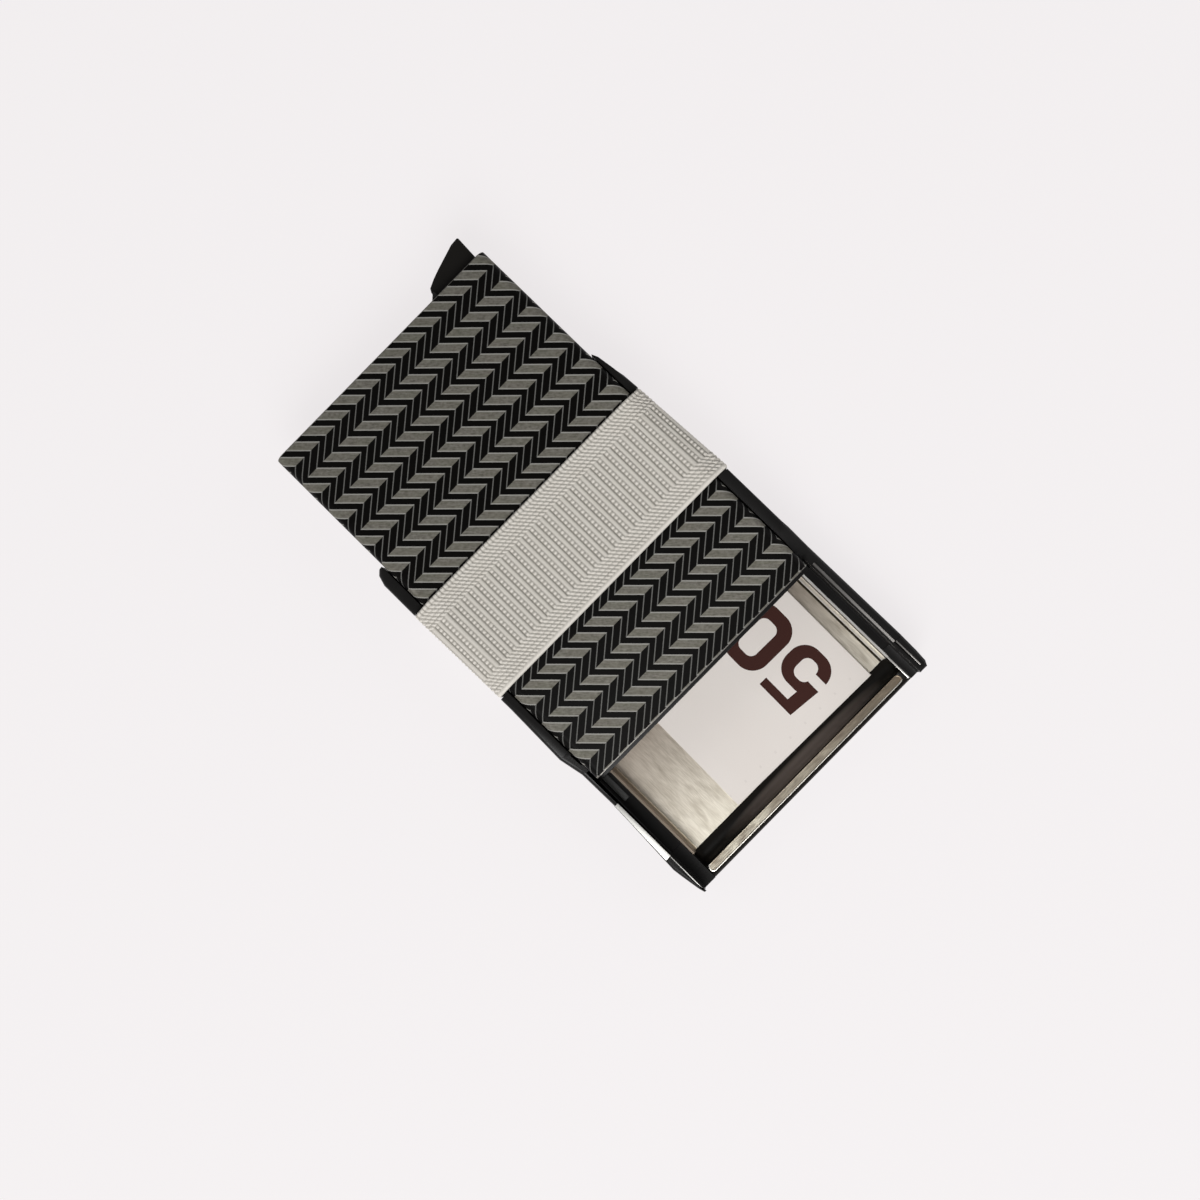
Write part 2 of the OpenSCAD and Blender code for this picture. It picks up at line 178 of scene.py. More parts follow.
class Finish:
    """A material: a Principled skin, its constants, and the nodes that feed it."""

    def __init__(self, name, **constants):
        self.material = bpy.data.materials.new(name)
        self.material.use_nodes = True
        self.tree = self.material.node_tree
        self.skin = self.tree.nodes["Principled BSDF"]
        for key, value in constants.items():
            self.feed(key.replace("_", " "), value)

    def put(self, socket, value):
        if isinstance(value, Wire):
            self.tree.links.new(value.socket, socket)
        elif hasattr(value, "__len__") and len(socket.default_value) == 4:
            socket.default_value = (*value[:3], 1)
        else:
            socket.default_value = value

    def add(self, kind, settings=None, values=None, out=0):
        node = self.tree.nodes.new(kind)
        for key, value in (settings or {}).items():
            if key == "stops":
                ramp = node.color_ramp.elements
                while len(ramp) < len(value):
                    ramp.new(0.5)
                for stop, (position, tone) in zip(ramp, value):
                    stop.position = position
                    stop.color = (tone, tone, tone, 1)
            else:
                setattr(node, key, value)
        for key, value in (values or {}).items():
            self.put(node.inputs[key], value)
        return Wire(self, node.outputs[out])

    def feed(self, name, value):
        self.put(self.skin.inputs[name], value)

    def place(self, stretch=(1, 1, 1), source="Object", turn=(0, 0, 0)):
        """Coordinates in metres, stretched so that a pattern is drawn out along an axis."""
        at = self.add("ShaderNodeTexCoord", out=source)
        return self.add("ShaderNodeMapping", {}, {"Vector": at, "Scale": stretch, "Rotation": turn})

    def noise(self, at, size, detail=2.0):
        """Noise from 0 to 1 whose blots are about size metres across."""
        return self.add("ShaderNodeTexNoise", {}, {"Vector": at, "Scale": 1 / size, "Detail": detail})

    def mix(self, share, a, b):
        return self.add("ShaderNodeMix", {"data_type": "RGBA"}, {0: share, 6: a, 7: b}, out=2)

    def ramp(self, value, *stops):
        return self.add("ShaderNodeValToRGB", {"stops": stops}, {0: value})

    def bump(self, height, depth):
        self.feed("Normal", self.add("ShaderNodeBump", {}, {"Height": height, "Distance": depth}))


def shade(tone, factor):
    return tuple(c * factor for c in tone)


def moulded(name, tone, roughness, grain, depth=3e-6, **constants):
    """Moulded or blasted black: a fine grain, and broad patches a little duller than others."""
    finish = Finish(name, **constants)
    at = finish.place()
    fine = finish.noise(at, grain)
    broad = finish.noise(at, 9 * MM, 3)
    finish.feed("Base Color", finish.mix(broad, shade(tone, 0.8), shade(tone, 1.25)))
    finish.feed("Roughness", broad * 0.1 + fine * 0.08 + (roughness - 0.09))
    finish.bump(fine, depth)
    return finish.material


def pick(piece):
    bpy.ops.object.select_all(action="DESELECT")
    piece.select_set(True)
    bpy.context.view_layer.objects.active = piece


def copy_of(node, body, material):
    """A copy of a CAD part with its triangles joined up, ready to have its edges broken."""
    piece = bpy.data.objects.new(node + "_made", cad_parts[node].data.copy())
    bpy.context.scene.collection.objects.link(piece)
    pick(piece)
    bpy.ops.object.mode_set(mode="EDIT")
    bpy.ops.mesh.select_all(action="SELECT")
    bpy.ops.mesh.remove_doubles(threshold=1e-6)
    bpy.ops.mesh.dissolve_limited(angle_limit=math.radians(0.4))
    bpy.ops.object.mode_set(mode="OBJECT")
    piece.data.materials.clear()
    piece.data.materials.append(material)
    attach(piece, body)
    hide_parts(node)
    return piece


def break_edges(piece, width, rounds, wanted, over=30):
    """Rounds the sharp edges that wanted(middle, normal, normal) picks, middle in millimetres."""
    pick(piece)
    bpy.ops.object.mode_set(mode="EDIT")
    bpy.ops.mesh.select_mode(type="EDGE")
    bpy.ops.mesh.select_all(action="DESELECT")
    solid = bmesh.from_edit_mesh(piece.data)
    for edge in solid.edges:
        if len(edge.link_faces) == 2 and edge.calc_face_angle(0) > math.radians(over):
            middle = (edge.verts[0].co + edge.verts[1].co) / (2 * MM)
            edge.select_set(bool(wanted(middle, *[face.normal for face in edge.link_faces])))
    bpy.ops.mesh.bevel(offset=width * MM, segments=rounds, profile=0.5, clamp_overlap=False)
    bpy.ops.object.mode_set(mode="OBJECT")
    pick(piece)
    bpy.ops.object.shade_smooth_by_angle(angle=math.radians(35))


blasted = moulded("blasted black plate", (0.02, 0.02, 0.021), 0.52, 0.12 * MM, 6e-6,
                  Specular_IOR_Level=0.35)
back_plate = copy_of("back_plate", "tray", blasted)
break_edges(back_plate, 0.3, 3,
            lambda m, a, b: min(a.z, b.z) < -0.7 and m.z < 0.05 and max(abs(m.x), abs(m.y)) > 31)


# ---- Steel tray -------------------------------------------------------------------------
# Half-millimetre stainless sheet, brushed lengthwise. Its long sides are folded up and hemmed
# over the ledges; on the right the hem's tail runs on over the end bar. It carries the notes.
# Across the tray, in millimetres: the floor lies between its two folds. The right wall has a painted
# shadow at its foot and a painted shade line where its hem turns over, and is painted bright, a
# painted highlight, elsewhere
floor_from, floor_to = -28.6, 29.2
painted_shadow_to = 29.7
painted_fold_shade = (30.3, 30.5)
# Painted shadow: where along the tray the floor's painted shade from the case gives way to light
painted_shade_run, painted_shade_start = -26 * MM, 0.62
sheet_steel = Finish("brushed sheet steel", Metallic=1)
apart = sheet_steel.add("ShaderNodeSeparateXYZ", {}, {0: sheet_steel.place()})
fine = sheet_steel.noise(sheet_steel.place((1, 0.07, 1)), 0.16 * MM, 3)
cloud = sheet_steel.noise(sheet_steel.place((1, 0.4, 1)), 2.2 * MM, 4)
grain = sheet_steel.ramp(fine * 0.55 + cloud * 0.45, (0.36, 0), (0.62, 1))
# Painted light and shade: the walls are painted in tones of light and shade, tan on the left, and the
# floor is painted darker near the case, a painted shadow of it, and brighter towards the open end
painted_light_share = sheet_steel.ramp(apart.part("Y") / painted_shade_run - painted_shade_start, (0, 0), (1, 1))
painted_light_bright_grain = sheet_steel.mix(painted_light_share, (0.52, 0.45, 0.38), (1.0, 0.94, 0.81))
painted_light_dark_grain = sheet_steel.mix(painted_light_share, (0.4, 0.34, 0.28), (0.8, 0.73, 0.6))
floor_tone = sheet_steel.mix(grain, painted_light_dark_grain, painted_light_bright_grain)
across_tray = apart / MM
on_floor = (across_tray > floor_from) * (across_tray < floor_to)
# Painted shade and highlight: the left wall is painted a dark tan as in shade, the right wall
# near-black at its foot, bright above it and dark again where its hem turns over
wall_light_and_shade = sheet_steel.mix(across_tray > 0, (0.3, 0.245, 0.195), (0.05, 0.04, 0.03))
wall_light_and_shade = sheet_steel.mix(across_tray > painted_shadow_to, wall_light_and_shade, (0.95, 0.93, 0.89))
in_fold_shade = (across_tray > painted_fold_shade[0]) * (across_tray < painted_fold_shade[1])
wall_light_and_shade = sheet_steel.mix(in_fold_shade, wall_light_and_shade, (0.12, 0.11, 0.1))
sheet_steel.feed("Base Color", sheet_steel.mix(on_floor, wall_light_and_shade, floor_tone))
sheet_steel.feed("Roughness", fine * 0.2 + cloud * 0.1 + 0.28)
sheet_steel.bump(fine, 6e-6)
steel_tray = copy_of("steel_tray", "tray", sheet_steel.material)
pick(steel_tray)
bpy.ops.object.shade_smooth_by_angle(angle=math.radians(20))


def top_edge(middle, a, b):
    """True where a face that looks up meets a wall."""
    return max(a.z, b.z) > 0.7 and min(abs(a.z), abs(b.z)) < 0.5


bpy.ops.object.select_all(action="DESELECT")
tail_middle = Vector((30.77, -45.35, 6.16))
tail_size = Vector((0.46, 6.4, 0.24))
bpy.ops.mesh.primitive_cube_add(size=1, location=tail_middle * MM, scale=tail_size * MM)
hem_tail = bpy.context.object
hem_tail.name = "hem_tail"
bpy.ops.object.transform_apply(location=True, rotation=True, scale=True)
hem_tail.data.materials.append(sheet_steel.material)
break_edges(hem_tail, 0.09, 3, top_edge)
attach(hem_tail, "tray")


# ---- Rails and end caps -----------------------------------------------------------------
# Two moulded rails with a ledge and an undercut groove for the sledge, and a cap that closes
# each rail's open end. Their outer shoulders are well rounded, their inner edges crisp.
gloss_black = moulded("black moulding", (0.009, 0.0085, 0.0082), 0.34, 0.07 * MM, 1.5e-6,
                      Specular_IOR_Level=0.22)
shoulder = {"left_rail": 0.9, "right_rail": 0.6, "left_end_cap": 0.7, "right_end_cap": 0.7}
for node, width in shoulder.items():
    out_way = -1 if node.startswith("left") else 1
    rail = copy_of(node, "tray", gloss_black)
    break_edges(rail, width, 5, lambda m, a, b: top_edge(m, a, b) and m.z > 10.5
                and max(a.x * out_way, b.x * out_way) > 0.5 and abs(m.x) > 33.5)
    break_edges(rail, 0.12, 2, lambda m, a, b: top_edge(m, a, b) and m.z > 6.2
                and min(a.x * out_way, b.x * out_way) < -0.5, 50)
    break_edges(rail, 0.7, 5, lambda m, a, b: top_edge(m, a, b) and m.z > 10.5 and m.y < -47.5
                and min(a.y, b.y) < -0.7, 40)
    break_edges(rail, 0.25, 3, lambda m, a, b: max(abs(a.z), abs(b.z)) < 0.2 and abs(m.x) > 32
                and (m.y > 44 or m.y < -48), 40)


# ---- Front bar, end bar and end strip ---------------------------------------------------
# The front bar ties the rails under the case. The end bar is moulded with a hollow ramp, which
# lets a thumb lift the notes; a brushed steel strip is let into its top.
front_bar = copy_of("front_bar", "tray", gloss_black)
break_edges(front_bar, 0.15, 2, lambda m, a, b: top_edge(m, a, b) and m.z > 6)

# A painted reflection of the note: the hollow's middle is painted grey
reflection_middle, reflection_reach = (2, -44.9), (26, 1.7)
painted_reflection_bar = Finish("polished end bar", Specular_IOR_Level=0.28)
apart = painted_reflection_bar.add("ShaderNodeSeparateXYZ", {}, {0: painted_reflection_bar.place()})
off_middle = (apart / MM - reflection_middle[0]) / reflection_reach[0]
down_ramp = (apart.part("Y") / MM - reflection_middle[1]) / reflection_reach[1]
dusty = painted_reflection_bar.noise(painted_reflection_bar.place(), 1.2 * MM, 3)
# Painted reflection: a grey patch in the hollow's middle, fading to black towards its ends and foot
painted_reflection = 1 - off_middle * off_middle - down_ramp * down_ramp * 0.8 + dusty * 0.04
painted_reflection = painted_reflection_bar.ramp(painted_reflection, (0.1, 0), (1, 1))
painted_reflection_bar.feed("Base Color", painted_reflection_bar.mix(painted_reflection, (0.009, 0.0075, 0.006), (0.17, 0.135, 0.115)))
painted_reflection_bar.feed("Roughness", dusty * 0.05 + 0.3)
painted_reflection_bar.bump(dusty, 1e-6)
end_bar = copy_of("end_bar", "tray", painted_reflection_bar.material)
break_edges(end_bar, 0.15, 3, lambda m, a, b: top_edge(m, a, b) and m.z > 6)

strip_half, strip_l = 29, 58
strip_top, outer_side, left_end = 6.22, -47.7, -28.6
strip_steel = Finish("brushed end strip", Metallic=1)
apart = strip_steel.add("ShaderNodeSeparateXYZ", {}, {0: strip_steel.place()})
fine = strip_steel.noise(strip_steel.place((0.05, 1, 1)), 0.12 * MM, 3)
cloud = strip_steel.noise(strip_steel.place((0.6, 1, 1)), 2.5 * MM, 3)
# Painted light: the flat is painted brighter towards its left end, nearer the large soft box
painted_light_share = strip_steel.ramp((strip_half - apart / MM) / strip_l, (0, 0), (0.9, 1))
flat_tone = strip_steel.mix(painted_light_share, (0.42, 0.33, 0.24), (1.0, 0.95, 0.78))
grain = strip_steel.ramp(fine * 0.5 + cloud * 0.5, (0.35, 0), (0.65, 1))
flat_tone = strip_steel.mix(grain, (0.42, 0.35, 0.27), flat_tone)
# Its upstanding rim is painted bright along the outer side and the left end, a painted highlight on
# the sides that face the large soft box
lit_side = (apart.part("Y") / MM < outer_side).most(apart / MM < left_end)
lit_rim = (apart.part("Z") / MM > strip_top) * lit_side
strip_steel.feed("Base Color", strip_steel.mix(lit_rim, flat_tone, (0.9, 0.86, 0.78)))
strip_steel.feed("Roughness", fine * 0.18 + cloud * 0.08 + 0.22)
strip_steel.bump(fine, 4e-6)
end_strip = copy_of("end_strip", "tray", strip_steel.material)
break_edges(end_strip, 0.08, 2, lambda m, a, b: top_edge(m, a, b) and m.z > 6.2)


# ---- Trims ------------------------------------------------------------------------------
# Slim steel inlays in the rails' shoulders: one steel, painted bright on the left as a painted
# highlight and dark on the right as painted shade.
def brushed(name, tone, roughness, along=1, **constants):
    """Brushed metal: fine streaks drawn out along one axis, and a few deeper scratches."""
    finish = Finish(name, Metallic=1, **constants)
    drawn = [1, 1, 1]
    drawn[along] = 0.03
    at = finish.place(drawn)
    fine = finish.noise(at, 0.09 * MM, 3)
    coarse = finish.noise(at, 0.5 * MM, 2)
    cloud = finish.noise(finish.place(), 7 * MM, 3)
    streak = fine * 0.6 + coarse * 0.4
    finish.feed("Base Color", finish.mix(finish.ramp(streak * 0.7 + cloud * 0.3, (0.3, 0), (0.7, 1)),
                                         shade(tone, 0.76), shade(tone, 1.06)))
    finish.feed("Roughness", streak * 0.24 + cloud * 0.08 + (roughness - 0.16))
    finish.bump(streak, 5e-6)
    return finish.material


# Painted highlight and shade: the same brushed steel in a bright tone for the left and a dark one for
# the right
lit_polished = brushed("polished trim", (0.87, 0.86, 0.82), 0.55)
shaded_satin = brushed("dark satin trim", (0.42, 0.4, 0.38), 0.42)
for node, metal, finish_slot in (("left_trim", lit_polished, "polished_trim"),
                                 ("left_cap_trim", lit_polished, "polished_trim"),
                                 ("right_trim", shaded_satin, "dark_trim"),
                                 ("right_cap_trim", shaded_satin, "dark_trim")):
    trim = copy_of(node, "tray", metal)
    break_edges(trim, 0.06, 2, top_edge)


# ---- Screws and latch arm ---------------------------------------------------------------
# Six countersunk hexagon-socket screws hold the plate from behind. The latch arm is a sprung
# finger, cut free in the left ledge, that clicks under the sledge.
screw_metal = brushed("screw steel", (0.34, 0.34, 0.35), 0.38, along=2)
screws = copy_of("back_screws", "tray", screw_metal)
break_edges(screws, 0.1, 2, lambda m, a, b: min(a.z, b.z) < -0.7 and m.z < 0.15)

latch = copy_of("latch_arm", "tray", moulded("latch moulding", (0.05, 0.05, 0.048), 0.4, 0.07 * MM))
break_edges(latch, 0.12, 3, top_edge)


# ---- Folded note ------------------------------------------------------------------------
# A paper note, 82 by 140 mm, folded along its middle and then across it, so that four layers
# lie on the tray's floor, a little askew. Large generic numerals are printed on one quarter.
note_w, note_l = 82.0, 140.0
layer_gap = 0.2
paper_t = 0.1
note_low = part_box("folded_note")[0] / MM
note_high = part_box("folded_note")[1] / MM
note_turn = math.radians(-1)
note_mid = (note_low + note_high) / 2

cols, rows = 96, 96
crowding = 1.8
slack_rise, slack_reach = 0.12, 6


def crowded(total, count, fold):
    """Stations along a side that crowd together round the fold in its middle."""
    even = np.linspace(-1, 1, count + 1)
    return total / 2 + np.sign(even) * (np.abs(even) ** fold) * total / 2


across_note = crowded(note_w, cols, crowding)
along_note = crowded(note_l, rows, crowding)


def fold(distance, half, low, high):
    """Folds a length back over itself at half: the place along, and the height between layers."""
    radius = abs(high - low) / 2
    bend = math.pi * radius / 2
    if distance < half - bend:
        return distance, low
    if distance > half + bend:
        return 2 * half - distance, high
    turn = (distance - half) / max(radius, 1e-6)
    return half - bend + radius * math.cos(turn), (low + high) / 2 + (high - low) / 2 * math.sin(turn)


verts, flat_places = [], []
for t in along_note:
    for s in across_note:
        x, z_first = fold(s, note_w / 2, 0, layer_gap)
        y, z = fold(t, note_l / 2, z_first, 3 * layer_gap - z_first)
        from_edge = note_l / 2 - abs(t - note_l / 2)
        slack = slack_rise * math.exp(-(from_edge / slack_reach) ** 2) * (x / 41) ** 2
        height = z + slack * (z / (3 * layer_gap)) + 0.05 * math.sin(x / 9) * (z / 0.6)
        local = Vector((x - note_w / 4, y - note_l / 4))
        at_x = note_mid.x + local.x * math.cos(note_turn) - local.y * math.sin(note_turn)
        at_y = note_mid.y + local.x * math.sin(note_turn) + local.y * math.cos(note_turn)
        verts.append((at_x * MM, at_y * MM, (note_low.z + paper_t / 2 + 0.03 + height) * MM))
        flat_places.append((s * MM, t * MM))
wide = cols + 1
faces = [(r * wide + c, r * wide + c + 1, (r + 1) * wide + c + 1, (r + 1) * wide + c)
         for r in range(rows) for c in range(cols)]
note_mesh = bpy.data.meshes.new("note")
note_mesh.from_pydata(verts, [], faces)
wrap = note_mesh.uv_layers.new(name="flat")
for corner in note_mesh.loops:
    wrap.data[corner.index].uv = flat_places[corner.vertex_index]
note = bpy.data.objects.new("note", note_mesh)
bpy.context.scene.collection.objects.link(note)
pick(note)
thick = note.modifiers.new("paper", "SOLIDIFY")
thick.thickness = paper_t * MM
thick.offset = 0
bpy.ops.object.modifier_apply(modifier="paper")
bpy.ops.object.shade_smooth_by_angle(angle=math.radians(50))

printed = Finish("printed paper", Specular_IOR_Level=0.2)
flat = printed.place(source="UV")
axes = printed.add("ShaderNodeSeparateXYZ", {}, {0: flat})
from_side = axes / MM
from_end = note_l - axes.part("Y") / MM
digit_foot = 36.6
digit_h = 14.5


def rounded_box(read, rise, p0, p1, q0, q1, radius):
    """Distance outside a box with rounded corners; below zero inside it."""
    over = []
    for value, low, high in ((read, p0, p1), (rise, q0, q1)):
        off = value - (low + high) / 2
        over.append(off.sum_of("ABSOLUTE", off) - ((high - low) / 2 - radius))
    out_x, out_y = over[0].most(0), over[1].most(0)
    square = out_x * out_x + out_y * out_y
    return square.sum_of("SQRT", square) + over[0].most(over[1]).least(0) - radius


rise = digit_foot - from_side
first = from_end - 5.4
second = from_end - 17.6
bowl = rounded_box(first, rise, 0, 10.7, 0, 9.9, 4.3)
bowl_eye = rounded_box(first, rise, 3.2, 7.5, 2.4, 7.7, 1.8)
notch = rounded_box(first, rise, -2, 3.25, 4.2, 6.5, 0.02)
stem = rounded_box(first - (rise - 6.5) * 0.085, rise, 0, 3.1, 6.5, digit_h, 0.05)
bar = rounded_box(first, rise, 0.9, 10.3, digit_h - 2.05, digit_h, 0.05)
ring = bowl.most(0 - bowl_eye).most(0 - notch)
five = ring.least(stem).least(bar)
nought = rounded_box(second, rise, 0, 11.5, -0.1, digit_h + 0.35, 4.4).most(
    0 - rounded_box(second, rise, 3.3, 8.2, 3.0, 12.0, 1.7))
ink = five.least(nought) < 0
fibre = printed.noise(printed.place(source="UV"), 0.25 * MM, 5)
tint = printed.noise(printed.place((1, 0.4, 1), "UV"), 14 * MM, 2)
dot_row = (from_end - 2.6).sum_of("ABSOLUTE", from_end - 2.6) < 0.3
dots = (from_side / 4.6).sum_of("FRACT", from_side / 4.6) < 0.1
paper_tone = printed.mix(tint, (0.77, 0.71, 0.665), (0.82, 0.77, 0.73))
paper_tone = printed.mix(fibre * 0.25, paper_tone, (0.62, 0.57, 0.53))
paper_tone = printed.mix(dot_row * dots * 0.1, paper_tone, (0.3, 0.26, 0.24))
ink_tone = printed.mix(fibre, (0.036, 0.009, 0.006), (0.052, 0.015, 0.0105))
printed.feed("Base Color", printed.mix(ink, paper_tone, ink_tone))
printed.feed("Roughness", 0.8 - ink * 0.1)
printed.bump(fibre + ink * 0.4, 1.2e-5)
note.data.materials.append(printed.material)
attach(note, "tray")
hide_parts("folded_note")


# ---- Sledge and bonding sheet -----------------------------------------------------------
# The moulded sledge carries the case; its tongues run in the rails' grooves. A double-sided
# adhesive sheet holds the case down on it.
sledge = copy_of("sledge", "case", gloss_black)
break_edges(sledge, 0.2, 3, lambda m, a, b: top_edge(m, a, b) and m.z > 7)

tack = Finish("adhesive sheet", Roughness=0.6)
weave = tack.noise(tack.place(), 0.6 * MM, 3)
tack.feed("Base Color", tack.mix(weave, (0.74, 0.74, 0.7), (0.84, 0.84, 0.81)))
tack.bump(weave, 2e-5)
bonding = copy_of("bonding_sheet", "case", tack.material)


# ---- Card case --------------------------------------------------------------------------
# Extruded aluminium tube with rounded long edges, anodised black. A herringbone is engraved
# round it by laser, in one ribbon after another; the rims are turned bright after anodising.
case_low, case_high = (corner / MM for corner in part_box("card_case"))
case_r = 2.0
case_wall = 1.0
rim = 0.22

bpy.ops.object.select_all(action="DESELECT")
bpy.ops.mesh.primitive_cube_add(size=1, location=(case_low + case_high) / 2 * MM,
                                scale=(case_high - case_low) * MM)
case = bpy.context.object
case.name = "case_tube"
bpy.ops.object.transform_apply(location=True, rotation=True, scale=True)
bpy.ops.object.mode_set(mode="EDIT")
bpy.ops.mesh.select_mode(type="EDGE")
bpy.ops.mesh.select_all(action="DESELECT")
tube = bmesh.from_edit_mesh(case.data)
for edge in tube.edges:
    edge.select_set(abs(edge.verts[0].co.y - edge.verts[1].co.y) > 10 * MM)
bpy.ops.mesh.bevel(offset=case_r * MM, segments=14, profile=0.5)
bpy.ops.mesh.select_mode(type="FACE")
bpy.ops.mesh.select_all(action="DESELECT")
tube = bmesh.from_edit_mesh(case.data)
for face in tube.faces:
    face.select_set(abs(face.normal.y) > 0.9)
bpy.ops.mesh.delete(type="FACE")
bpy.ops.mesh.select_all(action="SELECT")
bpy.ops.mesh.bisect(plane_co=(0, 0, 0), plane_no=(1, 0, 0))
bpy.ops.object.mode_set(mode="OBJECT")
wall = case.modifiers.new("wall", "SOLIDIFY")
wall.thickness = case_wall * MM
wall.offset = -1
wall.use_even_offset = True
bpy.ops.object.modifier_apply(modifier="wall")


def on_outside(point):
    """True for a point in millimetres on the tube's outer skin."""
    across_gap = abs(point.x) - (case_high.x - case_r)
    up_gap = abs(point.z - (case_low.z + case_high.z) / 2) - ((case_high.z - case_low.z) / 2 - case_r)
    return math.hypot(max(across_gap, 0), max(up_gap, 0)) > case_r - 0.1


def rim_edge(outer):
    def wanted(m, a, b):
        at_end = min(abs(m.y - case_low.y), abs(m.y - case_high.y)) < 0.01
        return at_end and on_outside(m) == outer
    return wanted


break_edges(case, rim, 2, rim_edge(True))
break_edges(case, 0.15, 1, rim_edge(False))

engraved = Finish("engraved anodised case", Specular_IOR_Level=0.06)
spread = engraved.add("ShaderNodeSeparateXYZ", {}, {0: engraved.place(source="UV")})
round_case = spread / MM
along_case = spread.part("Y") / MM
row_pitch = 8.17
light_row = 4.52
dark_row = row_pitch - light_row
ribbon_pitch = 4.72
ribbon_w = 2.95
ribbon_shift = 4.43
line_w = 0.37
first_row = 37.617
first_ribbon = 3.03


def turn_back(value):
    return value.sum_of("FRACT", value)


in_row = turn_back((along_case - (first_row - 20 * row_pitch)) / row_pitch) * row_pitch
zigzag = (in_row / light_row).least((row_pitch - in_row) / dark_row) * ribbon_shift
along_ribbons = round_case + zigzag - (first_ribbon - 40 * ribbon_pitch)
in_ribbon = turn_back(along_ribbons / ribbon_pitch) * ribbon_pitch
edge_gap = in_ribbon.least(ribbon_w - in_ribbon)
blur = 0.05
ribbon = engraved.ramp((edge_gap + blur) / (2 * blur), (0, 0), (1, 1))
line = ribbon * (1 - engraved.ramp((edge_gap - line_w + blur) / (2 * blur), (0, 0), (1, 1)))
light = engraved.ramp((in_row + blur) / (2 * blur), (0, 0), (1, 1)) * (in_row < light_row)
turned = engraved.place(source="UV", turn=(0, 0, math.radians(-45)))
slanting = engraved.add("ShaderNodeMapping", {}, {"Vector": turned, "Scale": (1, 0.12, 1)})
hatch = engraved.noise(slanting, 0.2 * MM, 4)
cloudy = engraved.noise(engraved.place(source="UV"), 0.7 * MM, 4)
warm = engraved.noise(engraved.place(source="UV"), 5 * MM, 1)
greenish = engraved.ramp(engraved.noise(slanting, 1.1 * MM, 2), (0.4, 0), (0.6, 1))
grain = engraved.ramp(hatch * 0.55 + cloudy * 0.45, (0.34, 0), (0.66, 1))
grey = engraved.mix(grain, (0.075, 0.072, 0.061), (0.235, 0.228, 0.198))
grey = engraved.mix(greenish * 0.3, grey, (0.125, 0.13, 0.092))
grey = engraved.mix(warm * 0.35, grey, (0.175, 0.145, 0.122))
deep = engraved.mix(hatch, (0.0014, 0.0012, 0.001), (0.004, 0.0036, 0.0032))
scored = engraved.mix(hatch, (0.095, 0.094, 0.088), (0.155, 0.153, 0.145))
bright_line = engraved.mix(hatch, (0.26, 0.255, 0.235), (0.36, 0.35, 0.325))
skin_tone = engraved.mix(ribbon * light, deep, grey)
skin_tone = engraved.mix(line, skin_tone, engraved.mix(light, scored, bright_line))
engraved.feed("Base Color", skin_tone)
engraved.feed("Roughness", 0.42 + ribbon * light * 0.2 + line * 0.1 + hatch * 0.08)
engraved.feed("Metallic", ribbon * light * 0.25)
engraved.bump(hatch * 0.3 + cloudy * 0.1 - line * 1.0 - ribbon * light * 0.5, 1.2e-5)

bright_rim = brushed("turned bright rim", (0.2, 0.19, 0.175), 0.4, along=0)
bore_black = moulded("anodised bore", (0.012, 0.012, 0.012), 0.5, 0.2 * MM)
for material in (engraved.material, bright_rim, bore_black):
    case.data.materials.append(material)

flat_half = case_high.x - case_r
side_half = (case_high.z - case_low.z) / 2 - case_r
middle_z = (case_low.z + case_high.z) / 2
quarter = math.pi / 2 * case_r


def way_round(point, sign):
    """How far round the tube a point is from the middle of its top face, in millimetres."""
    x, z = abs(point.x), point.z - middle_z
    if z > side_half:
        turn = math.atan2(x - flat_half, z - side_half) if x > flat_half else 0
        return sign * (min(x, flat_half) + case_r * turn)
    if z >= -side_half:
        return sign * (flat_half + quarter + side_half - z)
    turn = math.atan2(-z - side_half, x - flat_half) if x > flat_half else math.pi / 2
    done = flat_half + quarter + 2 * side_half + case_r * turn
    return sign * (done + (flat_half - x if x < flat_half else 0))


wrap = case.data.uv_layers[0]
for face in case.data.polygons:
    centre = face.center / MM
    sign = -1 if centre.x < 0 else 1
    if not on_outside(centre):
        face.material_index = 2
    elif min(centre.y - case_low.y, case_high.y - centre.y) < rim - 0.02:
        face.material_index = 1
    for corner in face.loop_indices:
        point = case.data.vertices[case.data.loops[corner].vertex_index].co / MM
        wrap.data[corner].uv = (way_round(point, sign) * MM, point.y * MM)
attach(case, "case")
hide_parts("card_case")


# ---- Lining of the case -----------------------------------------------------------------
# Moulded collar and side guides with felt strips, and a leaf spring that steadies the cards.
matt_black = moulded("matt black moulding", (0.012, 0.0115, 0.011), 0.55, 0.1 * MM, 6e-6,
                     Specular_IOR_Level=0.2)
for node in ("mouth_collar", "left_guide", "right_guide"):
    lining = copy_of(node, "case", matt_black)
    break_edges(lining, 0.12, 2, lambda m, a, b: max(abs(a.y), abs(b.y)) > 0.7, 60)

felted = Finish("grey felt", Roughness=0.95, Sheen_Weight=0.4)
nap = felted.noise(felted.place(), 0.15 * MM, 5)
felted.feed("Base Color", felted.mix(nap, (0.02, 0.02, 0.022), (0.06, 0.06, 0.064)))
felted.bump(nap, 8e-5)
for node in ("left_felt", "right_felt"):
    strip = copy_of(node, "case", felted.material)
    break_edges(strip, 0.08, 2, lambda m, a, b: True)

spring = copy_of("pressure_spring", "case", brushed("spring steel", (0.5, 0.5, 0.5), 0.35))
bpy.ops.object.shade_smooth_by_angle(angle=math.radians(35))


# ---- Base, pin and ejector lever --------------------------------------------------------
# The moulded base closes the case's end. The lever turns in its slot on a steel pin: a thumb
# fin outside, and inside a stack of steps that pushes the cards out like a fan.
base = copy_of("base_cap", "case", matt_black)
break_edges(base, 0.15, 3, lambda m, a, b: m.y > 82 and max(a.y, b.y) > 0.5, 45)

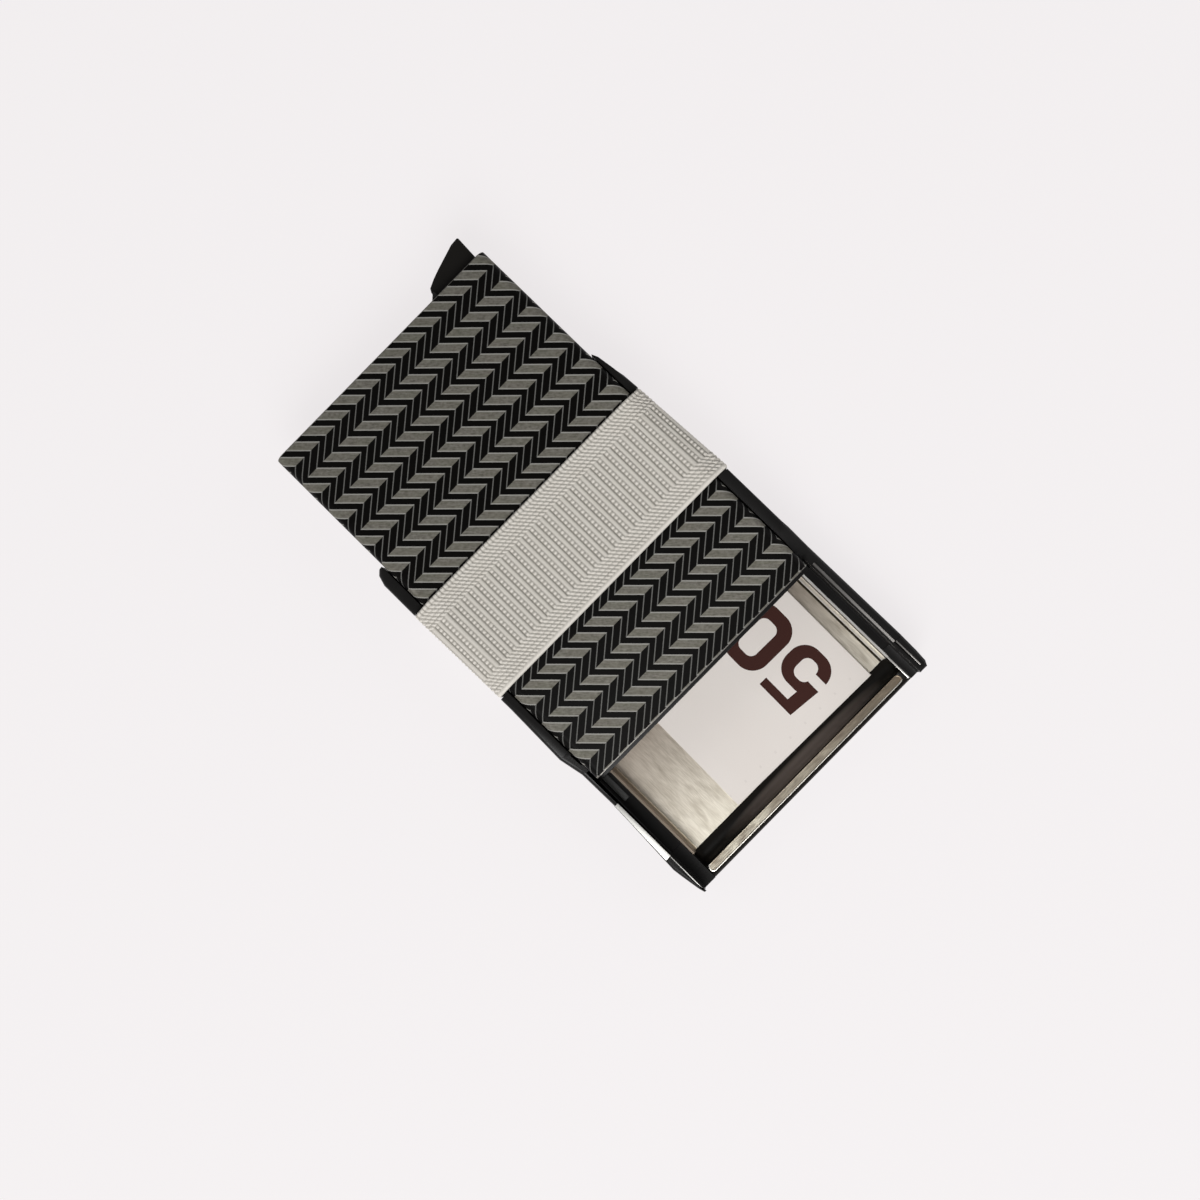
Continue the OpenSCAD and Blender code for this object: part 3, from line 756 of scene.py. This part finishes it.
pin = copy_of("lever_pin", "case", screw_metal)
break_edges(pin, 0.12, 2, lambda m, a, b: max(abs(a.z), abs(b.z)) > 0.7)

lever_black = moulded("lever moulding", (0.007, 0.0062, 0.0052), 0.5, 0.1 * MM, 5e-6,
                      Specular_IOR_Level=0.15)
lever = copy_of("ejector_lever", "lever", lever_black)
break_edges(lever, 0.3, 4, lambda m, a, b: m.y > 82.8 and max(abs(a.z), abs(b.z)) > 0.7, 40)


# ---- Elastic band -----------------------------------------------------------------------
# Woven elastic, 25.6 mm wide, sewn into a loop and stretched round the tray and the case: ribs
# with beads of gum thread between them, and a knitted selvedge along both edges. It lies a
# little askew.
band_low, band_high = (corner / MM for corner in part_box("elastic_band"))
band_t = 0.85
band_w = band_high.y - band_low.y
left_lean, right_lean = 0.5, 1.25
inner_left = (band_low.x + band_t + left_lean, band_low.x + band_t)
inner_right = (band_high.x - band_t, band_high.x - band_t - right_lean)
path_left, path_right = sum(inner_left) / 2, sum(inner_right) / 2
base_z = band_low.z + band_t
shoulder_z = 14.4
top_z = band_high.z - band_t
top_half = 30.4
rib_pitch = 2.07
rib_start = -6.33
selvedge = 4.95


def rounded_loop(corners, radii, step=0.1):
    """Points along a closed run of straight lines whose corners are rounded."""
    points = []
    count = len(corners)
    for i, (corner, radius) in enumerate(zip(corners, radii)):
        before = (Vector(corners[i - 1]) - Vector(corner)).normalized()
        after = (Vector(corners[(i + 1) % count]) - Vector(corner)).normalized()
        half = before.angle(after) / 2
        reach = radius / math.tan(half)
        start, end = Vector(corner) + before * reach, Vector(corner) + after * reach
        centre = Vector(corner) + (before + after).normalized() * (radius / math.sin(half))
        steps = max(2, int(radius * (math.pi - 2 * half) / step))
        for k in range(steps + 1):
            spoke = (start - centre).slerp(end - centre, k / steps, (start - centre))
            points.append(centre + spoke.normalized() * radius)
    return points


loop = rounded_loop([(0, top_z), (top_half, top_z), (path_right, shoulder_z), (path_right, base_z),
                     (path_left, base_z), (path_left, shoulder_z), (-top_half, top_z)],
                    [0.01, 5, 0.9, 0.7, 0.7, 0.9, 5])
loop = np.array([(p.x, p.y) for p in loop] + [(loop[0].x, loop[0].y)])
run = np.concatenate([[0], np.cumsum(np.hypot(*np.diff(loop, axis=0).T))])
loop_l = run[-1]
# Stations are closest over the top; the weave on the sides and underneath is coarser for it
top_run = 38.0
on_top, underneath = 300, 130
stations = np.concatenate([np.linspace(0, top_run, on_top, endpoint=False),
                           np.linspace(top_run, loop_l - top_run, underneath, endpoint=False),
                           np.linspace(loop_l - top_run, loop_l, on_top, endpoint=False)])
px = np.interp(stations, run, loop[:, 0])
pz = np.interp(stations, run, loop[:, 1])
ahead_of, behind = (stations + 0.15) % loop_l, (stations - 0.15) % loop_l
tx = np.interp(ahead_of, run, loop[:, 0]) - np.interp(behind, run, loop[:, 0])
tz = np.interp(ahead_of, run, loop[:, 1]) - np.interp(behind, run, loop[:, 1])
size = np.hypot(tx, tz)
nx, nz = -tz / size, tx / size
signed = np.where(stations < loop_l / 2, stations, stations - loop_l)

lanes = np.linspace(0, band_w, 129)
hem_in = 0.6
# Where a rib and a bead stand in each pitch, and half their widths
rib_at, rib_half = 1.47, 0.52
bead_at, bead_half = 0.52, 0.42
knit_row = 0.98
cord_w = 1.0


def bulge(distance, half):
    """A round ridge: 1 on its line, 0 at half its width and beyond."""
    return np.sqrt(np.clip(1 - (distance / half) ** 2, 0, 1))


def weave_height(u, v):
    """Relief of the weave from 0 to 1, u along the loop and v across it, in millimetres."""
    phase = (u - rib_start) % rib_pitch
    rib = bulge(phase - rib_at, rib_half) * 0.7
    bead = 0.02 + 0.98 * bulge(phase - bead_at, bead_half) * bulge((v + 0.3) % 1.0 - 0.5, bead_half)
    ribs = np.maximum(rib, bead)
    inward = np.minimum(v, band_w - v)
    slant = (u + v * 0.85) % (rib_pitch / 2) - rib_pitch / 4
    row = (v - cord_w) % knit_row - knit_row / 2
    knit = 0.18 + 0.8 * bulge(slant, 0.42) * (0.15 + 0.85 * bulge(row, 0.46))
    bumps = 0.25 + 0.65 * bulge(u % (rib_pitch / 2) - rib_pitch / 4, 0.46)
    bumps = np.where(v < band_w / 2, 0.85, bumps)
    edge = np.where(inward < cord_w, bumps * bulge(inward - 0.5, 0.62), knit)
    blend = np.clip((inward - selvedge) / 0.3 + 0.5, 0, 1)
    return edge * (1 - blend) + ribs * blend


grid_u, grid_v = np.meshgrid(signed, lanes, indexing="ij")
lift = weave_height(grid_u, grid_v)
inward = np.minimum(grid_v, band_w - grid_v)
rounding = 0.3 * (1 - bulge(np.clip(hem_in - inward, 0, hem_in), hem_in * 1.02))
relief = 0.34
out = band_t - relief + relief * lift - rounding


def stretch_side(x, v):
    """Both sides lean to the left towards the lever's end, as the recesses under them do."""
    for sides, path in ((inner_right, path_right), (inner_left, path_left)):
        lean = sides[0] + (sides[1] - sides[0]) * v / band_w - path
        way = math.copysign(1, path)
        share = np.clip((x * way - 20) / (path * way - 20), 0, 1)
        x = x + lean * share * share
    return x


def surface(offset, lane):
    x = px[:, None] + nx[:, None] * offset
    z = pz[:, None] + nz[:, None] * offset
    return np.stack([stretch_side(x, lane), np.broadcast_to(band_low.y + lane, x.shape), z], axis=-1)


outer = surface(out, grid_v)
few = np.array([0.25, band_w / 2, band_w - 0.25])
inner = surface(np.zeros((len(px), 3)), np.broadcast_to(few, (len(px), 3)))
count_u, count_v = len(px), len(lanes)
verts = np.concatenate([outer.reshape(-1, 3), inner.reshape(-1, 3)]) * MM
inner_at = count_u * count_v
faces = []
for i in range(count_u):
    j = (i + 1) % count_u
    ring = [(i * count_v + k, j * count_v + k) for k in range(count_v)]
    back = [(inner_at + i * 3 + k, inner_at + j * 3 + k) for k in (2, 1, 0)]
    ring = ring + back
    for (a, b), (c, d) in zip(ring, ring[1:] + ring[:1]):
        faces.append((a, c, d, b))
band_mesh = bpy.data.meshes.new("band")
band_mesh.from_pydata(verts.tolist(), [], faces)
wrap = band_mesh.uv_layers.new(name="weave")
run_at = np.concatenate([np.repeat(stations, count_v), np.repeat(stations, 3)]) * MM
lane_at = np.concatenate([np.tile(lanes, count_u), np.tile(few, count_u)]) * MM
for face in band_mesh.polygons:
    high = max(run_at[v] for v in face.vertices)
    for corner in face.loop_indices:
        v = band_mesh.loops[corner].vertex_index
        u = run_at[v]
        if high - u > 0.05:
            u += loop_l * MM
        wrap.data[corner].uv = (u, lane_at[v])
height_mark = band_mesh.attributes.new("lift", "FLOAT", "POINT")
lifts = np.concatenate([lift.ravel(), np.full(count_u * 3, 0.4)])
height_mark.data.foreach_set("value", lifts.astype(np.float32))
band = bpy.data.objects.new("band", band_mesh)
bpy.context.scene.collection.objects.link(band)
pick(band)
bpy.ops.object.mode_set(mode="EDIT")
bpy.ops.mesh.select_all(action="SELECT")
bpy.ops.mesh.normals_make_consistent(inside=False)
bpy.ops.object.mode_set(mode="OBJECT")
bpy.ops.object.shade_smooth()

woven = Finish("woven elastic", Roughness=0.85, Specular_IOR_Level=0.2, Sheen_Weight=0.15)
lifted = woven.add("ShaderNodeAttribute", {"attribute_name": "lift"}, out="Fac")
yarn = woven.noise(woven.place((1, 0.25, 1), "UV"), 0.1 * MM, 3)
dyed = woven.noise(woven.place(source="UV"), 4 * MM, 2)
light_yarn = woven.mix(dyed, (0.66, 0.62, 0.56), (0.73, 0.695, 0.64))
hollow_shade_tone = (0.25, 0.235, 0.205)
# Painted shade: the weave is painted dark where it lies low and light where it stands up, as shade in
# its hollows
painted_lift_light = woven.ramp(lifted * 0.85 + yarn * 0.15, (0.12, 0), (0.78, 1))
yarn_and_hollow_shade = woven.mix(painted_lift_light, hollow_shade_tone, light_yarn)
woven.feed("Base Color", yarn_and_hollow_shade)
woven.bump(yarn, 3e-5)
band.data.materials.append(woven.material)
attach(band, "tray")
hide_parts("elastic_band")

# Two rows of lock stitches close the loop on the underside
thread = Finish("grey thread", Roughness=0.75, Specular_IOR_Level=0.2)
twist = thread.noise(thread.place((0.4, 1, 1)), 0.12 * MM, 2)
thread.feed("Base Color", thread.mix(twist, (0.4, 0.37, 0.33), (0.56, 0.53, 0.48)))
thread.bump(twist, 2e-5)
bpy.ops.object.select_all(action="DESELECT")
bpy.ops.mesh.primitive_uv_sphere_add(segments=12, ring_count=6, radius=1 * MM)
first_stitch = bpy.context.object
first_stitch.name = "seam_stitches"
bpy.ops.transform.resize(value=(0.2, 0.85, 0.16))
bpy.ops.object.transform_apply(location=False, rotation=False, scale=True)
bpy.ops.object.shade_smooth()
first_stitch.data.materials.append(thread.material)
stitch_pitch, stitches_in_row = 2.2, 11
stitches = []
for column in (-4, 4):
    for k in range(stitches_in_row):
        stitch = bpy.data.objects.new("stitch", first_stitch.data.copy())
        bpy.context.scene.collection.objects.link(stitch)
        along = band_low.y + 1.8 + k * stitch_pitch
        stitch.location = (column * MM, along * MM, (band_low.z + 0.18) * MM)
        stitches.append(stitch)
bpy.data.objects.remove(first_stitch, do_unlink=True)
bpy.ops.object.select_all(action="DESELECT")
for stitch in stitches:
    stitch.select_set(True)
bpy.context.view_layer.objects.active = stitches[0]
bpy.ops.object.join()
seam = bpy.context.object
seam.name = "seam_stitches"
bpy.ops.object.transform_apply(location=True, rotation=True, scale=True)
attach(seam, "tray")
